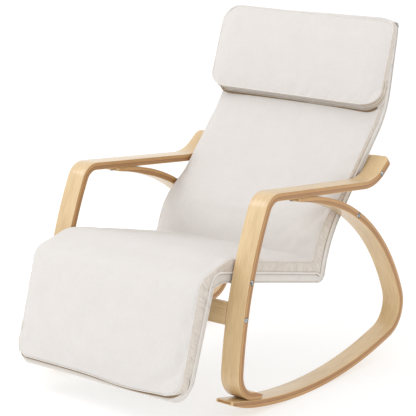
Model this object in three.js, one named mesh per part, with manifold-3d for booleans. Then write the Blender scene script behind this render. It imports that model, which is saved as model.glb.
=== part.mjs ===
// Bentwood rocking armchair with a hinged, padded footrest. Units are millimetres, +Z is up and
// the chair faces -Y. Everything is drawn in side view and extruded across the chair.
import * as THREE from "three";
import { mergeVertices } from "three/addons/utils/BufferGeometryUtils.js";
import Module from "manifold-3d";

const wasm = await Module();
wasm.setup();

// ---- driving dimensions -------------------------------------------------------------------------

const HALF_WIDTH = 330; // outer edge of the bent strips
const STRIP_WIDTH = 56;
const STRIP_THICK = 20;
const FIT_GAP = 0.4; // clearance between strips that touch
const CLEAR = 0.3; // clearance between every other pair of touching pieces

const CONTACT_Y = 48; // where the rockers touch the floor, in the side view
const ORIGIN_Y = 61; // side-view position of the part's origin
const ROCKER_RADIUS = 1220;
const FACET_TURN = 3; // degrees of the rocker drawn as one flat resting facet
const ROCKER_FRONT_TURN = 15.1;
const ROCKER_REAR_TURN = 18.1;
const REAR_BEND = { radius: 89, turn: 93.7 };
const UPPER_RUN = { radius: 538, turn: 63.2 };
const UNDER_ARM = 33;
const UNDER_ARM_TAPER = 120; // the rocker thins over this length to its end under the armrest
const UNDER_ARM_THICK = 9; // its thickness there
const TAIL_TAPER = 95; // the rocker's front end thins from both faces
const TAIL_RISE = 8;
const TAIL_DROP = 3;

const TAIL_REACH = 195; // from the floor contact forward to the tip of the leg's foot
const TAIL_TURN = 2.1;
const FOOT_BEND = { radius: 71, turn: -82.84 };
const LEG_RUN = { radius: 1110, turn: -21.2 };
const ARM_FRONT_BEND = { radius: 55, turn: -69.5 };
const ARM_LENGTH = 377;
const ARM_REAR_BEND = { radius: 111, turn: 43 };
const ARM_END = 44;

const SEAT_START = [-246, 342.7];
const SEAT_SLOPE = -12;
const SEAT_LENGTH = 420.5;
const SEAT_CORNER = { radius: 25, turn: 90.6 };
const BACK_LOWER_RUN = { radius: 321, turn: -29.8 };
const BACK_MIDDLE = 254;
const BACK_UPPER_RUN = { radius: 240, turn: 30.1 };
const BACK_TOP = 177;

const FOOT_START = [-362.3, 80.5];
const FOOT_SLOPE = 71.4;
const FOOT_LENGTH = 254;
const PIVOT = [-270, 346];

const RAIL_GAP = 1.8; // from the sleeve's outer face to the inner frame
const RAIL_THICK = 14;
const RAIL_WIDTH = 34;
const SEAT_RAIL_OUT = 260; // outer edge of the seat and back side rails
const FOOT_RAIL_OUT = 263.3;
const SLEEVE_HALF = 268;
const SLEEVE_WALL = 1.5;
const SLEEVE_START = 5; // the sleeves stop short of the hinge
const SEAT_LAYER = 24;
const BACK_LAYER = 17.6;
const FOOT_LAYER = 21;
const CUSHION_HALF = 270;
const SEAT_TOP = 57;
const FOOT_TOP = 47;
const PILLOW_HALF = 283;
const PILLOW_LENGTH = 252;
const PILLOW_RISE = 6; // how far the pillow reaches past the top of the back
const CUSHION_ROUND = 12;
const SHELL_WALL = 6; // front wall of the back cushion and pillow, which are open behind
const SHELL_RIM = 15;
const FLAP = { thick: 2.4, drop: 195, half: 262 };

const BOLT_HOLE = 3.3;
const BOLT_RADIUS = 3;
const HEAD_RADIUS = 6.5;
const HEAD_HEIGHT = 3.4;
const RECESS_RADIUS = 7;
const RECESS_DEPTH = 4.6;
const NUT_RADIUS = 5;
const NUT_DEPTH = 30; // from the end of a rail to its barrel nut

// ---- materials ----------------------------------------------------------------------------------

const material = (color, roughness, metalness = 0) =>
  new THREE.MeshStandardMaterial({ color, roughness, metalness });
const birch = () => material(0xdcc196, 0.5);
const rawBirch = () => material(0xcdb080, 0.7);
const cotton = () => material(0xebe7e2, 0.95);
const lining = () => material(0xe4dfd8, 0.95);
const zinc = () => material(0xa9abad, 0.35, 0.9);

// ---- paths in side view -------------------------------------------------------------------------

const radians = THREE.MathUtils.degToRad;

// Steps along straights and tangent arcs. A left turn is positive.
function walk(start, heading, moves) {
  let [x, y] = start;
  let angle = radians(heading);
  let length = 0;
  const steps = [{ x, y, angle, length }];
  for (const move of moves) {
    const turn = radians(move.turn ?? 0);
    const run = move.straight ?? move.radius * Math.abs(turn);
    const count = move.steps ?? (turn ? Math.ceil(Math.max(Math.abs(move.turn) / 8, run / 45)) : 1);
    for (let i = 0; i < count; i += 1) {
      const half = turn / count / 2;
      const chord = turn ? 2 * move.radius * Math.abs(Math.sin(half)) : run;
      x += chord * Math.cos(angle + half);
      y += chord * Math.sin(angle + half);
      angle += 2 * half;
      length += run / count;
      steps.push({ x, y, angle, length });
    }
  }
  return steps;
}

// The place at a distance along a path.
function along(path, length) {
  const next = Math.max(1, path.findIndex((step) => step.length >= length));
  const a = path[next - 1];
  const b = path[next];
  const t = (length - a.length) / (b.length - a.length);
  const mix = (key) => a[key] + (b[key] - a[key]) * t;
  return { x: mix("x"), y: mix("y"), angle: mix("angle"), length };
}

const total = (path) => path[path.length - 1].length;

// The part of a path between two distances.
function stretch(path, from, to) {
  const inside = path.filter((step) => step.length > from + 1 && step.length < to - 1);
  return [along(path, from), ...inside, along(path, to)];
}

// The point at a distance to the left of a step.
const beside = (step, left) =>
  new THREE.Vector2(step.x - Math.sin(step.angle) * left, step.y + Math.cos(step.angle) * left);

const side = (path, left) =>
  path.map((step) => beside(step, typeof left === "function" ? left(step.length) : left));

// The outline between two offsets of one path.
const band = (path, right, left) => [...side(path, right), ...side(path, left).reverse()];

// Where two offset paths cross.
function crossing(pathA, leftA, pathB, leftB) {
  const a = side(pathA, leftA);
  const b = side(pathB, leftB);
  for (let i = 1; i < a.length; i += 1) {
    for (let j = 1; j < b.length; j += 1) {
      const r = a[i].clone().sub(a[i - 1]);
      const s = b[j].clone().sub(b[j - 1]);
      const d = b[j - 1].clone().sub(a[i - 1]);
      const t = d.cross(s) / r.cross(s);
      const u = d.cross(r) / r.cross(s);
      if (t >= 0 && t < 1 && u >= 0 && u < 1) {
        const { x, y } = a[i - 1].clone().addScaledVector(r, t);
        return { x, y, angle: pathB[j - 1].angle };
      }
    }
  }
  throw new Error("the two paths do not cross");
}

// ---- solids -------------------------------------------------------------------------------------

// An outline extruded across the chair between two distances from the middle plane.
function across(outline, from, to) {
  const geometry = new THREE.ExtrudeGeometry(new THREE.Shape(outline), {
    depth: to - from,
    bevelEnabled: false,
  });
  return geometry.translate(0, 0, from);
}

// The same with rounded rims, for padded pieces.
function padded(outline, half, round = CUSHION_ROUND) {
  const geometry = new THREE.ExtrudeGeometry(new THREE.Shape(outline), {
    depth: 2 * (half - round),
    bevelEnabled: true,
    bevelThickness: round,
    bevelSize: round * 0.6,
    bevelOffset: -round * 0.6,
    bevelSegments: 3,
  });
  return geometry.translate(0, 0, round - half);
}

const sideRange = (sign, inner, outer) => (sign > 0 ? [inner, outer] : [-outer, -inner]);

function manifold(geometry) {
  const bare = geometry.clone();
  bare.deleteAttribute("normal");
  bare.deleteAttribute("uv");
  const merged = mergeVertices(bare, 1e-4);
  return new wasm.Manifold(
    new wasm.Mesh({
      numProp: 3,
      vertProperties: merged.attributes.position.array,
      triVerts: new Uint32Array(merged.index.array),
    }),
  );
}

// A geometry with other geometries cut out of it.
function cut(geometry, tools) {
  const solid = tools.reduce((left, tool) => left.subtract(manifold(tool)), manifold(geometry));
  const mesh = solid.getMesh();
  const result = new THREE.BufferGeometry();
  result.setAttribute("position", new THREE.BufferAttribute(new Float32Array(mesh.vertProperties), 3));
  result.setIndex(new THREE.BufferAttribute(new Uint32Array(mesh.triVerts), 1));
  const flat = result.toNonIndexed();
  flat.computeVertexNormals();
  return flat;
}

// A round bar across the chair.
function bar(spot, radius, from, to, segments = 18) {
  const geometry = new THREE.CylinderGeometry(radius, radius, to - from, segments);
  return geometry.rotateX(Math.PI / 2).translate(spot.x, spot.y, (from + to) / 2);
}

// A turned profile of [radius, height] pairs.
const turned = (profile, segments = 18) =>
  new THREE.LatheGeometry(profile.map(([r, h]) => new THREE.Vector2(r, h)), segments);

// A turned profile standing in the side view, its axis along a direction in degrees.
const standing = (geometry, spot, direction, acrossAt) =>
  geometry.rotateZ(radians(direction - 90)).translate(spot.x, spot.y, acrossAt);

const degrees = (angle) => THREE.MathUtils.radToDeg(angle);

const sideView = new THREE.Group();
sideView.name = "rocking_chair_side_view";
sideView.rotation.set(Math.PI / 2, Math.PI / 2, 0);
sideView.position.y = -ORIGIN_Y;

function add(name, geometry, look) {
  const mesh = new THREE.Mesh(geometry, look);
  mesh.name = name;
  sideView.add(mesh);
  return mesh;
}

// ---- the bent strips ----------------------------------------------------------------------------

const facetHeight = ROCKER_RADIUS * Math.cos(radians(FACET_TURN / 2));

const rockerPath = walk(
  [
    CONTACT_Y - ROCKER_RADIUS * Math.sin(radians(ROCKER_FRONT_TURN)),
    facetHeight - ROCKER_RADIUS * Math.cos(radians(ROCKER_FRONT_TURN)),
  ],
  -ROCKER_FRONT_TURN,
  [
    { radius: ROCKER_RADIUS, turn: ROCKER_FRONT_TURN - FACET_TURN / 2 },
    { radius: ROCKER_RADIUS, turn: FACET_TURN, steps: 1 },
    { radius: ROCKER_RADIUS, turn: ROCKER_REAR_TURN - FACET_TURN / 2 },
    REAR_BEND,
    UPPER_RUN,
    { straight: UNDER_ARM, steps: 2 },
  ],
);

const tailRadius = ROCKER_RADIUS - STRIP_THICK - FIT_GAP;
const tailAngle = degrees(Math.asin(TAIL_REACH / tailRadius));

const armPath = walk(
  [CONTACT_Y - TAIL_REACH, facetHeight - tailRadius * Math.cos(radians(tailAngle))],
  180 - tailAngle,
  [
    { radius: tailRadius, turn: -TAIL_TURN, steps: 3 },
    FOOT_BEND,
    LEG_RUN,
    ARM_FRONT_BEND,
    { straight: ARM_LENGTH },
    ARM_REAR_BEND,
    { straight: ARM_END },
  ],
);

const tailShare = (length) => Math.max(0, 1 - length / TAIL_TAPER) ** 2;

// The rocker thins to its end under the armrest, where it is cut square.
function rockerInner(length) {
  const left = total(rockerPath) - length;
  const slope = UNDER_ARM_THICK + ((STRIP_THICK - UNDER_ARM_THICK) * left) / UNDER_ARM_TAPER;
  return Math.min(STRIP_THICK, slope) - TAIL_DROP * tailShare(length);
}

const rockerOuter = (length) => TAIL_RISE * tailShare(length);

// The foot of the leg thins towards its tip.
const armInner = (length) => -Math.min(STRIP_THICK, 11 + length * 0.25);

// ---- the inner frame's paths --------------------------------------------------------------------

const BACK_MOVES = [
  { straight: SEAT_LENGTH },
  SEAT_CORNER,
  BACK_LOWER_RUN,
  { straight: BACK_MIDDLE },
  BACK_UPPER_RUN,
];
const seatPath = walk(SEAT_START, SEAT_SLOPE, [...BACK_MOVES, { straight: BACK_TOP }]);
const footPath = walk(FOOT_START, FOOT_SLOPE, [{ straight: FOOT_LENGTH }]);
const backStart = SEAT_LENGTH + SEAT_CORNER.radius * radians(SEAT_CORNER.turn);
const backLength = total(seatPath) - backStart;
const railMiddle = RAIL_GAP + RAIL_THICK / 2;

// ---- bolted joints ------------------------------------------------------------------------------

const legBandStart = armPath.find((step) => step.length > 0 && degrees(step.angle) < 86).length;
const legStretch = stretch(armPath, legBandStart, legBandStart + 400);
const heightOnLeg = (z) => legStretch.find((step, i) => legStretch[i + 1].y > z);

function legSpot(z) {
  const below = heightOnLeg(z);
  const step = along(armPath, below.length + (z - below.y) / Math.sin(below.angle));
  const middle = beside(step, -STRIP_THICK / 2);
  return { x: middle.x, y: middle.y, angle: step.angle };
}

function armEndSpot() {
  const step = along(armPath, total(armPath) - 52);
  const middle = beside(step, -11.5);
  return { x: middle.x, y: middle.y, angle: step.angle };
}

const SPOTS = {
  seat_front: crossing(armPath, -STRIP_THICK / 2, seatPath, railMiddle),
  lower_back: crossing(rockerPath, STRIP_THICK / 2, stretch(seatPath, backStart, backStart + 400), railMiddle),
  stretcher: legSpot(255),
  arm_end: armEndSpot(),
};
const RAIL_END_OUTER = HALF_WIDTH - STRIP_WIDTH - CLEAR;
const RAIL_END_INNER = SEAT_RAIL_OUT - RAIL_WIDTH - CLEAR;
const RAIL_END = {
  seat_front: RAIL_END_INNER,
  lower_back: RAIL_END_INNER,
  stretcher: RAIL_END_OUTER,
  arm_end: RAIL_END_OUTER,
};

// The hole for a bolt, with the recess for its head.
function boltHole(key, sign) {
  const spot = SPOTS[key];
  const reach = RAIL_END[key] - NUT_DEPTH - 14;
  const shaft = bar(spot, BOLT_HOLE, ...sideRange(sign, reach, HALF_WIDTH + 5));
  const recess = bar(spot, RECESS_RADIUS, ...sideRange(sign, HALF_WIDTH - RECESS_DEPTH, HALF_WIDTH + 5));
  return [shaft, recess];
}

const nutHole = (key, sign, from) => {
  const spot = SPOTS[key];
  const geometry = turned([[0, 0], [NUT_RADIUS + CLEAR, 0], [NUT_RADIUS + CLEAR, 60], [0, 60]]);
  return standing(
    geometry,
    beside({ ...spot }, from),
    degrees(spot.angle) - 90,
    sign * (RAIL_END[key] - NUT_DEPTH),
  );
};

function addBolt(key, name, sign) {
  const spot = SPOTS[key];
  const seat = HALF_WIDTH - RECESS_DEPTH + CLEAR;
  const tip = RAIL_END[key] - NUT_DEPTH - 9;
  const long = seat - tip;
  const profile = [
    [0, 0],
    [BOLT_RADIUS - 0.8, 0],
    [BOLT_RADIUS, 1.2],
    [BOLT_RADIUS, long],
    [HEAD_RADIUS, long],
    [HEAD_RADIUS, long + HEAD_HEIGHT - 1],
    [HEAD_RADIUS - 1.2, long + HEAD_HEIGHT],
    [0, long + HEAD_HEIGHT],
  ];
  const socket = new THREE.CylinderGeometry(2.3, 2.3, 5, 6).translate(0, long + HEAD_HEIGHT, 0);
  const geometry = cut(turned(profile), [socket]).rotateX((sign * Math.PI) / 2);
  add("bolt_" + name, geometry.translate(spot.x, spot.y, sign * tip), zinc());
}

function addNut(key, name, sign, length) {
  const spot = SPOTS[key];
  const at = sign * (RAIL_END[key] - NUT_DEPTH);
  const body = turned([[0, -length / 2], [NUT_RADIUS, -length / 2], [NUT_RADIUS, length / 2], [0, length / 2]]);
  const placed = standing(body, spot, degrees(spot.angle) - 90, at);
  const thread = bar(spot, BOLT_HOLE, at - 20, at + 20, 14);
  add("nut_" + name, cut(placed, [thread]), zinc());
}

// ---- wood screws --------------------------------------------------------------------------------

const SCREW = { head: 4.5, radius: 2.2, headHeight: 2.6 };

function screwProfile(length, slack) {
  return [
    [0, 0],
    [slack ? SCREW.radius + slack : 0.6, 0],
    [SCREW.radius + slack, 4],
    [SCREW.radius + slack, length],
    [SCREW.head + slack, length + SCREW.headHeight],
    [SCREW.head + slack, length + SCREW.headHeight + (slack ? 12 : 0.8)],
    [0, length + SCREW.headHeight + (slack ? 12 : 0.8)],
  ];
}

// A screw is set by the place of its tip and the direction of its head.
const screwAt = (screw, sign, slack) =>
  standing(
    turned(screwProfile(screw.length, slack), 14),
    slack ? screw.deep : screw.tip,
    screw.direction,
    sign * (HALF_WIDTH - STRIP_WIDTH / 2),
  );

function strutScrew(fromEnd) {
  const step = along(rockerPath, total(rockerPath) - fromEnd);
  const thick = rockerInner(step.length);
  const length = thick + 12 - SCREW.headHeight - 1.2;
  return {
    tip: beside(step, -12),
    deep: beside(step, -12 - CLEAR),
    direction: degrees(step.angle) + 90,
    length,
  };
}

function footScrew() {
  const step = along(armPath, 22);
  const thick = -armInner(22);
  return {
    tip: beside(step, 12),
    deep: beside(step, 12 + CLEAR),
    direction: degrees(step.angle) - 90,
    length: thick + 12 - SCREW.headHeight - 1.2,
  };
}

const ARM_SCREWS = { front: strutScrew(18), rear: strutScrew(46) };
const FOOT_SCREW = footScrew();

// ---- building the frame -------------------------------------------------------------------------

function addSideFrame(name, sign) {
  const range = sideRange(sign, HALF_WIDTH - STRIP_WIDTH, HALF_WIDTH);
  const armHoles = ["seat_front", "stretcher", "arm_end"].flatMap((key) => boltHole(key, sign));
  const screwHoles = [ARM_SCREWS.front, ARM_SCREWS.rear, FOOT_SCREW].map((screw) => screwAt(screw, sign, CLEAR));
  const arm = across(band(armPath, armInner, 0), ...range);
  const rocker = across(band(rockerPath, rockerOuter, rockerInner), ...range);
  add("arm_leg_" + name, cut(arm, [...armHoles, ...screwHoles]), birch());
  add("rocker_" + name, cut(rocker, [...boltHole("lower_back", sign), ...screwHoles]), birch());
  add("arm_screw_front_" + name, screwAt(ARM_SCREWS.front, sign, 0), zinc());
  add("arm_screw_rear_" + name, screwAt(ARM_SCREWS.rear, sign, 0), zinc());
  add("foot_screw_" + name, screwAt(FOOT_SCREW, sign, 0), zinc());
}

// A rail between the side frames or side rails, drilled at both ends for bolts and barrel nuts.
function addRail(name, key, outline, hole, look, planes = []) {
  const end = RAIL_END[key];
  const holes = [1, -1].flatMap((sign) => [...boltHole(key, sign), nutHole(key, sign, hole)]);
  add(name, cut(across(outline, -end, end), [...holes, ...planes]), look);
}

function addCrossRails() {
  const low = legSpot(235);
  const foot = along(armPath, legSpotLength(235));
  const stretcherPath = stretch(armPath, foot.length, foot.length + 55 / Math.sin(low.angle));
  addRail("front_stretcher", "stretcher", band(stretcherPath, -STRIP_THICK, 0), 7.5, birch());
  const end = total(armPath);
  const backPlane = across(band(stretch(seatPath, 500, 900), -CLEAR, 60), -400, 400);
  const upperRail = band(stretch(armPath, end - 64, end), -20, -3);
  addRail("upper_back_rail", "arm_end", upperRail, 5.6, birch(), [backPlane]);
  const seatBolt = SPOTS.seat_front;
  const from = (seatBolt.x - SEAT_START[0]) / Math.cos(radians(SEAT_SLOPE));
  const seatRail = stretch(seatPath, from - 23, from + 23);
  addRail("seat_front_rail", "seat_front", band(seatRail, RAIL_GAP, RAIL_GAP + RAIL_THICK + 5), 5.6, rawBirch());
  const backAt = seatPath.reduce((best, step) => (reach(step) < reach(best) ? step : best));
  const backRail = stretch(seatPath, backAt.length - 23, backAt.length + 23);
  addRail("lower_back_rail", "lower_back", band(backRail, RAIL_GAP, RAIL_GAP + RAIL_THICK), 5.6, rawBirch());
}

const reach = (step) => Math.hypot(step.x - SPOTS.lower_back.x, step.y - SPOTS.lower_back.y);

function legSpotLength(z) {
  const below = heightOnLeg(z);
  return below.length + (z - below.y) / Math.sin(below.angle);
}

// ---- the inner frame that the cushions lie on ---------------------------------------------------

function addSideRails(name, sign) {
  const seat = stretch(seatPath, 4, total(seatPath) - 6);
  const seatRange = sideRange(sign, SEAT_RAIL_OUT - RAIL_WIDTH, SEAT_RAIL_OUT);
  const outline = band(seat, RAIL_GAP, RAIL_GAP + RAIL_THICK);
  const holes = [...boltHole("seat_front", sign), ...boltHole("lower_back", sign)];
  add("seat_back_rail_" + name, cut(across(outline, ...seatRange), holes), rawBirch());
  const foot = stretch(footPath, 6, FOOT_LENGTH - 2);
  const footRange = sideRange(sign, FOOT_RAIL_OUT - RAIL_WIDTH, FOOT_RAIL_OUT);
  add("footrest_rail_" + name, across(band(foot, RAIL_GAP, RAIL_GAP + RAIL_THICK), ...footRange), rawBirch());
}

// A slat between the side rails, by its distance along the path.
function addSlat(name, path, at, wide, end) {
  const outline = band(stretch(path, at - wide / 2, at + wide / 2), RAIL_GAP + 1, RAIL_GAP + RAIL_THICK - 1);
  add(name, across(outline, -end, end), rawBirch());
}

function addSlats() {
  const end = RAIL_END_INNER;
  addSlat("seat_middle_slat", seatPath, 205, 60, end);
  addSlat("seat_rear_slat", seatPath, 370, 60, end);
  addSlat("back_middle_slat", seatPath, backStart + 330, 60, end);
  addSlat("back_upper_slat", seatPath, backStart + 520, 60, end);
  addSlat("headrest_slat", seatPath, total(seatPath) - 42, 60, end);
  const footEnd = FOOT_RAIL_OUT - RAIL_WIDTH - CLEAR;
  addSlat("footrest_upper_slat", footPath, FOOT_LENGTH - 32, 50, footEnd);
  addSlat("footrest_middle_slat", footPath, FOOT_LENGTH / 2, 50, footEnd);
  addSlat("footrest_lower_slat", footPath, 34, 50, footEnd);
}

// ---- the hinge between seat and footrest --------------------------------------------------------

const HINGE = { disc: 9, plate: 3, hole: 3, rivet: 2.6, arm: 62, width: 5.5 };

// A flat leaf: a disc round the pivot and a straight arm along a rail.
function leafOutline(step, toward) {
  const middle = beside(step, railMiddle);
  const far = new THREE.Vector2(toward.x, toward.y);
  const pivot = new THREE.Vector2(...PIVOT);
  const lean = middle.clone().sub(pivot).angle();
  const arm = far.clone().sub(middle).normalize();
  const normal = new THREE.Vector2(-arm.y, arm.x).multiplyScalar(HINGE.width);
  const open = radians(38);
  const points = [];
  for (let i = 0; i <= 16; i += 1) {
    const angle = lean + open + ((2 * Math.PI - 2 * open) * i) / 16;
    points.push(new THREE.Vector2(Math.cos(angle), Math.sin(angle)).multiplyScalar(HINGE.disc).add(pivot));
  }
  const rightOfArm = middle.clone().sub(normal);
  const leftOfArm = middle.clone().add(normal);
  return [...points, rightOfArm, far.clone().sub(normal), far.clone().add(normal), leftOfArm];
}

function addLeaf(name, sign, path, from, to, inner) {
  const near = along(path, from);
  const far = beside(along(path, to), railMiddle);
  const range = sideRange(sign, inner, inner + HINGE.plate);
  const hole = bar(new THREE.Vector2(...PIVOT), HINGE.hole, -300, 300, 16);
  add(name, cut(across(leafOutline(near, far), ...range), [hole]), zinc());
}

function addHinge(name, sign) {
  const seatInner = SEAT_RAIL_OUT + CLEAR;
  const footInner = FOOT_RAIL_OUT + CLEAR;
  addLeaf("hinge_seat_leaf_" + name, sign, seatPath, 2, 44, seatInner);
  addLeaf("hinge_footrest_leaf_" + name, sign, [...footPath].reverse().map(flip), 2, 48, footInner);
  const low = seatInner - 2.2;
  const high = footInner + HINGE.plate + 0.2;
  const profile = [
    [0, 0],
    [5, 0],
    [5, 1.9],
    [HINGE.rivet, 1.9],
    [HINGE.rivet, high - low],
    [5, high - low],
    [3.6, high - low + 1.4],
    [0, high - low + 1.4],
  ];
  const rivet = turned(profile, 16).rotateX((sign * Math.PI) / 2);
  add("hinge_rivet_" + name, rivet.translate(PIVOT[0], PIVOT[1], sign * low), zinc());
}

// The same place seen by a walk in the other direction.
const flip = (step) => ({ ...step, length: FOOT_LENGTH - step.length });

// ---- fabric and cushions ------------------------------------------------------------------------

const ease = (t) => {
  const u = Math.min(1, Math.max(0, t));
  return u * u * (3 - 2 * u);
};

// The seat's sleeve is deeper than the back's.
const sleeveDepth = (length) =>
  SEAT_LAYER + (BACK_LAYER - SEAT_LAYER) * ease((length - SEAT_LENGTH + 60) / 50);

// A fabric sleeve pulled over a frame: two skins joined at the far end.
function sleeveOutline(path, depth, closed) {
  const inner = stretch(path, SLEEVE_START, total(path) - closed);
  const outside = [...side(path, 0), ...side(path, depth).reverse()];
  const skin = (length) => depth(length) - SLEEVE_WALL;
  return [...outside, ...side(inner, skin), ...side(inner, SLEEVE_WALL).reverse()];
}

function addSleeves() {
  const seat = stretch(seatPath, SLEEVE_START, total(seatPath));
  const seatOutline = sleeveOutline(seat, sleeveDepth, SLEEVE_WALL);
  add("seat_back_sleeve", across(seatOutline, -SLEEVE_HALF, SLEEVE_HALF), lining());
  const foot = stretch([...footPath].reverse().map(flip), SLEEVE_START, FOOT_LENGTH);
  const footOutline = sleeveOutline(foot, () => FOOT_LAYER, SLEEVE_WALL);
  add("footrest_sleeve", across(footOutline, -SLEEVE_HALF, SLEEVE_HALF), lining());
}

// The back cushion is deepest in the small of the back.
const backFront = (length) => 37 + 27 * (1 - ease((length - backStart - 80) / 140));

// The pillow is a wedge, deep at its lower edge and thin at its top, with a slight crown.
const pillowDepth = (u) => 20 + 26 * (1 - u) + 12 * Math.sin(Math.PI * Math.min(1, u + 0.05));

function addCushions() {
  const seat = walk(SEAT_START, SEAT_SLOPE, [{ straight: SEAT_LENGTH + 12 }]);
  const seatBody = padded(band(seat, SEAT_LAYER + CLEAR, SEAT_TOP), CUSHION_HALF);
  const lowBack = stretch(seatPath, SEAT_LENGTH + 8, backStart + 80);
  const behind = across(band(lowBack, -60, BACK_LAYER + CLEAR), -400, 400);
  add("seat_cushion", cut(seatBody, [behind]), cotton());
  const back = stretch(seatPath, backStart, total(seatPath));
  const bottom = walk(SEAT_START, SEAT_SLOPE, [{ straight: 600 }]);
  const below = across(band(bottom, -100, SEAT_TOP + CLEAR), -400, 400);
  const backBody = padded(band(back, BACK_LAYER + CLEAR, backFront), CUSHION_HALF, 8);
  const backInside = stretch(seatPath, backStart + 55, total(seatPath) - SHELL_RIM);
  const backHollow = shellHollow(backInside, backFront, CUSHION_HALF);
  add("back_cushion", cut(backBody, [below, backHollow]), cotton());
  const foot = walk(FOOT_START, FOOT_SLOPE, [{ straight: FOOT_LENGTH + 24 }]);
  add("footrest_cushion", padded(band(foot, FOOT_LAYER + CLEAR, FOOT_TOP), CUSHION_HALF), cotton());
}

// The space behind a cushion's front wall, open to the rear.
const shellHollow = (path, front, half) =>
  across(band(path, -60, (length) => front(length) - SHELL_WALL), SHELL_RIM - half, half - SHELL_RIM);

function addPillow() {
  const longer = walk(SEAT_START, SEAT_SLOPE, [...BACK_MOVES, { straight: BACK_TOP + PILLOW_RISE }]);
  const start = total(longer) - PILLOW_LENGTH;
  const count = 12;
  const steps = Array.from({ length: count + 1 }, (_, i) => along(longer, start + (PILLOW_LENGTH * i) / count));
  const rear = (length) => backFront(length) + CLEAR;
  const front = (length) => rear(length) + pillowDepth((length - start) / PILLOW_LENGTH);
  const body = padded(band(steps, rear, front), PILLOW_HALF, 14);
  const hollow = shellHollow(steps.slice(1, -1), front, PILLOW_HALF);
  add("head_pillow", cut(body, [hollow]), cotton());
}

// The pillow hangs on a thin flap that goes over the top of the back and down behind it.
function addFlap() {
  const end = total(seatPath);
  const middle = -CLEAR - FLAP.thick / 2;
  const down = stretch(seatPath, end - FLAP.drop, end).map((step) => {
    const { x, y } = beside(step, middle);
    return { ...step, x, y };
  });
  const top = down[down.length - 1];
  const over = walk([top.x, top.y], degrees(top.angle), [
    { straight: 2 },
    { radius: 9, turn: 90 },
    { straight: 17 },
    { radius: 9, turn: 60 },
    { straight: 2 },
  ]);
  const outline = band([...down, ...over.slice(1)], -FLAP.thick / 2, FLAP.thick / 2);
  add("head_pillow_flap", across(outline, -FLAP.half, FLAP.half), cotton());
}

// The slider's plain pull tab, on the left side of the back.
function addZipPull() {
  const at = along(seatPath, total(seatPath) - 118);
  const tab = band(stretch(seatPath, at.length - 7, at.length + 7), 7, 12);
  const hole = bar(beside(along(seatPath, at.length + 4), 9.5), 1.2, 260, 280, 12);
  add("zip_pull", cut(across(tab, SLEEVE_HALF + CLEAR, SLEEVE_HALF + 1.8), [hole]), zinc());
}

export default sideView;

addSideFrame("left", 1);
addSideFrame("right", -1);
addCrossRails();
addSideRails("left", 1);
addSideRails("right", -1);
addSlats();
addHinge("left", 1);
addHinge("right", -1);
for (const [sign, name] of [[1, "left"], [-1, "right"]]) {
  addBolt("seat_front", "seat_front_" + name, sign);
  addBolt("lower_back", "lower_back_" + name, sign);
  addBolt("stretcher", "stretcher_" + name, sign);
  addBolt("arm_end", "arm_end_" + name, sign);
  addNut("seat_front", "seat_front_" + name, sign, 10);
  addNut("lower_back", "lower_back_" + name, sign, 10);
  addNut("stretcher", "stretcher_" + name, sign, 13);
  addNut("arm_end", "arm_end_" + name, sign, 10);
}
addSleeves();
addCushions();
addPillow();
addFlap();
addZipPull();
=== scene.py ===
import math

import bmesh
import bpy
import numpy as np
from mathutils import Matrix, Vector, noise


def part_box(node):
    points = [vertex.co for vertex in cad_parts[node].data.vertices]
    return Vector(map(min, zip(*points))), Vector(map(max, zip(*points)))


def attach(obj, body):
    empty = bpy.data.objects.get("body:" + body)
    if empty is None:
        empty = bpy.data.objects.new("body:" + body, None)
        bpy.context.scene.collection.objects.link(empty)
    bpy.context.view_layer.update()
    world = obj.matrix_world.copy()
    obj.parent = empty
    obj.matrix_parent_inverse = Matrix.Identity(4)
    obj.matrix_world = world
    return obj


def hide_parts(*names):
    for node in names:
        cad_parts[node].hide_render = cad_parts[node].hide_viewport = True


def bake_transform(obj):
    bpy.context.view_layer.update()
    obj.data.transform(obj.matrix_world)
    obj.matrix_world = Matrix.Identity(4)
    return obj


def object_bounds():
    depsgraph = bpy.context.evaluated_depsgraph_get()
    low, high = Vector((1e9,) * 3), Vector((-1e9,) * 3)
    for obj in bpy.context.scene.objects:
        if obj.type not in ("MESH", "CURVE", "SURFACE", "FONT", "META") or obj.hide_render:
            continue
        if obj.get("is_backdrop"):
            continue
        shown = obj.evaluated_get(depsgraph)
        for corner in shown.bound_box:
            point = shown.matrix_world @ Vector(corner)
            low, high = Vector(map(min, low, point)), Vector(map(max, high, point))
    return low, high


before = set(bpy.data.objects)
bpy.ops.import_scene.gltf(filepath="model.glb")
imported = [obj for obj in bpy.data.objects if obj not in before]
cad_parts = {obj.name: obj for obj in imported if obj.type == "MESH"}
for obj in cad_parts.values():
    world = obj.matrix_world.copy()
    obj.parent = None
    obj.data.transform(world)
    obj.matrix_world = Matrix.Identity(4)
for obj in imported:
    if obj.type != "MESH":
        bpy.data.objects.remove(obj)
size_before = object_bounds()

# ---- dimensions of the chair, in millimetres, in side view (y to the back, z up) ------------------

# where the frame's origin lies in side view, and the footrest's hinge
ORIGIN_Y = 61.0
PIVOT = np.array((-270.0, 346.0))

# the bent strips
HALF_WIDTH = 330.0
STRIP_WIDTH = 56.0
STRIP_THICK = 20.0
FIT_GAP = 0.4
CONTACT_Y = 48.0
ROCKER_RADIUS = 1220.0
FACET_TURN = 3.0
FRONT_TURN = 15.1
TAIL_REACH = 195.0
TAIL_RADIUS = ROCKER_RADIUS - STRIP_THICK - FIT_GAP

# Curves are lists of moves: (length,) for a straight, (radius, turn in degrees) for an arc.
# the rocker: up to the facet, the facet, back to the bend, the rear bend, the rise, the end under the arm
ROCKER_MOVES = [
    (ROCKER_RADIUS, 13.6), (ROCKER_RADIUS, FACET_TURN), (ROCKER_RADIUS, 16.6),
    (89, 93.7), (538, 63.2), (33,),
]
# the arm strip: its tail on the rocker, the foot's bend, the leg, the front bend, the armrest, the raised end
ARM_MOVES = [(TAIL_RADIUS, -2.1), (71, -82.84), (1110, -21.2), (55, -69.5), (377,), (111, 43), (44,)]

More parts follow.
